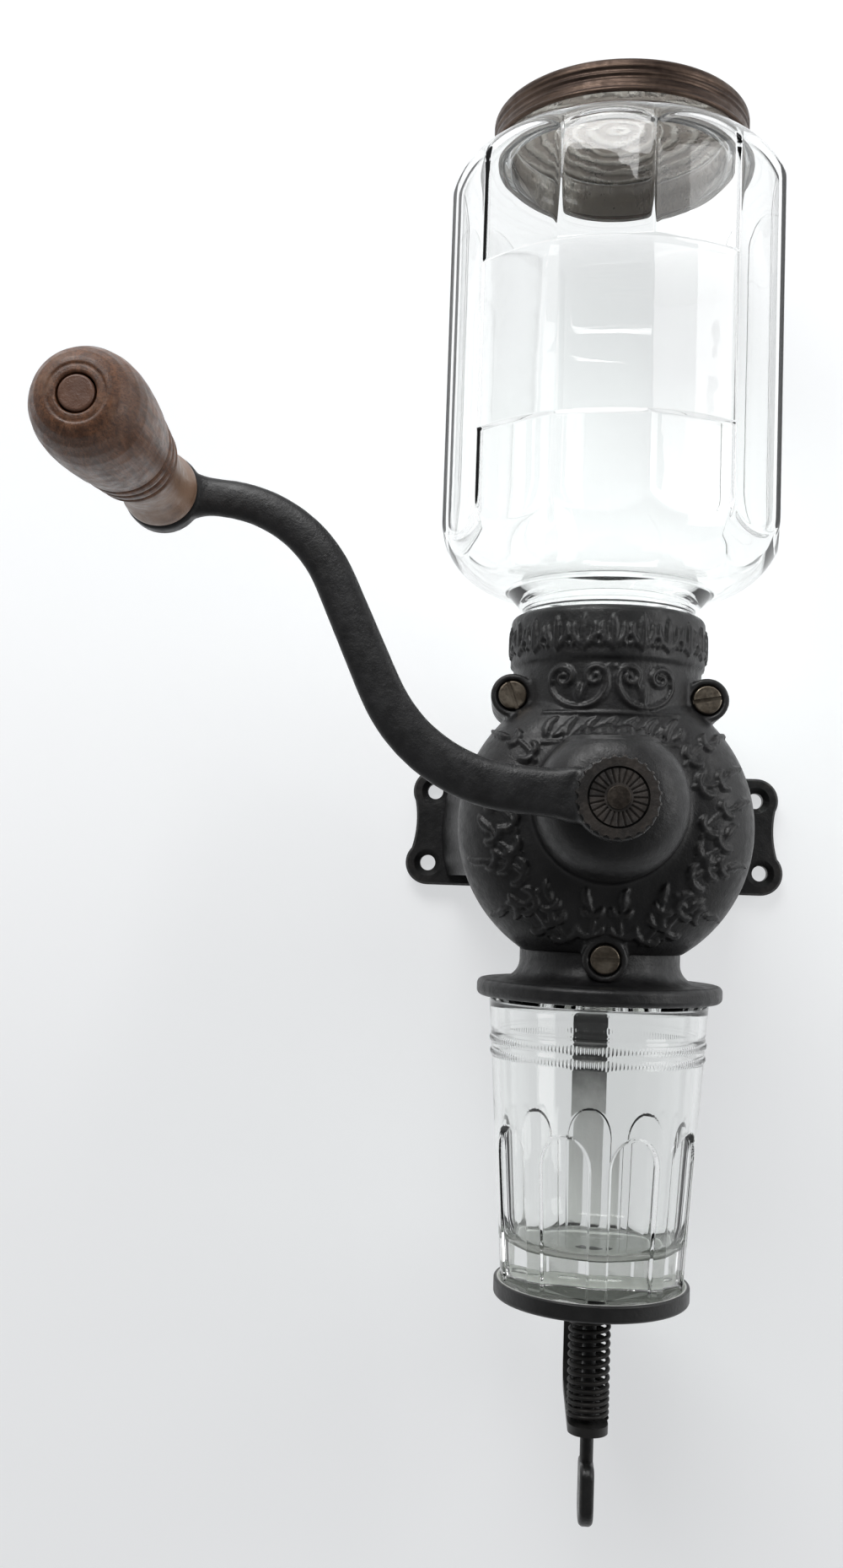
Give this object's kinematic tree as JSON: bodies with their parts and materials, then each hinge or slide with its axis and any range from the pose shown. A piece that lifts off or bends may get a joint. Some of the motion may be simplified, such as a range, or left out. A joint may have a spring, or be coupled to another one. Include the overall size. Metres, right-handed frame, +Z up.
{
  "type": "wall mounted coffee mill",
  "caption": "Old kitchen wall coffee mill: glass hopper jar with tin lid, cast casing, curved crank with wooden knob, glass catch cup on a sprung tray.",
  "frame": {"origin": "on the wall plane, at the centre of the four wall holes in the ears", "axes": "+X to the right seen from the front, +Y into the wall, so the mill stands out towards -Y, +Z up along the hopper jar"},
  "size_m": [0.2136, 0.206, 0.4465],
  "materials": {
    "black_iron": "old black japan over cast iron, satin",
    "black_tin": "black enamel on sheet tin",
    "clear_glass": "clear pressed glass",
    "tin_lid": "tin plate browned with age outside, dull silver inside",
    "dark_steel": "darkened steel with worn edges",
    "bare_steel": "bare steel",
    "shaft_steel": "turned steel, dark at the exposed end",
    "burr_iron": "chilled iron, bare",
    "spring_steel": "oil-darkened spring wire",
    "turned_wood": "turned hardwood, worn brown varnish"
  },
  "bodies": {
    "casing": {"rear_casing": "black_iron", "front_casing": "black_iron", "casing_screws": "dark_steel", "hopper_jar": "clear_glass", "burr_ring": "burr_iron", "burr_ring_screws": "bare_steel", "burr_spring": "bare_steel", "cup_bracket": "black_iron", "bracket_screws": "dark_steel", "tray_spring": "spring_steel"},
    "crank": {"crank_arm": "black_iron", "knob_spindle": "dark_steel", "knob_washer": "dark_steel"},
    "knob": {"crank_knob": "turned_wood"},
    "nut": {"adjusting_nut": "black_iron"},
    "shaft": {"grinding_shaft": "shaft_steel", "rotating_burr": "burr_iron", "burr_pin": "bare_steel", "nut_lock_disc": "dark_steel", "spring_washer": "bare_steel"},
    "lid": {"hopper_lid": "tin_lid"},
    "tray": {"cup_tray": "black_tin", "pull_stem": "black_iron", "catch_cup": "clear_glass"}
  },
  "joints": [
    {"name": "crank_turn", "type": "hinge", "parent": "casing", "child": "crank", "pos_m": [0, -0.058, 0.0046], "axis": [0, 1, 0], "continuous": true},
    {"name": "knob_spin", "type": "hinge", "parent": "crank", "child": "knob", "pos_m": [-0.132, -0.058, 0.0888], "axis": [0, 1, 0], "continuous": true},
    {"name": "nut_turn", "type": "hinge", "parent": "crank", "child": "nut", "pos_m": [0, -0.058, 0.0046], "axis": [0, 1, 0], "range_deg": [-180, 180]},
    {"name": "burr_gap", "type": "slide", "parent": "crank", "child": "shaft", "axis": [0, -1, 0], "range_m": [-0.00075, 0.00075]},
    {"name": "lid_lift", "type": "slide", "parent": "casing", "child": "lid", "axis": [0, 0, 1], "range_m": [0, 0.02]},
    {"name": "tray_pull", "type": "slide", "parent": "casing", "child": "tray", "axis": [0, 0, -1], "range_m": [0, 0.009], "stiffness_N_per_m": 800, "springref_m": -0.01, "deforming": ["tray_spring"]}
  ],
  "couplings": [
    {"joint": "nut_turn", "follows": "burr_gap", "rad_per_m": 4188.8}
  ]
}
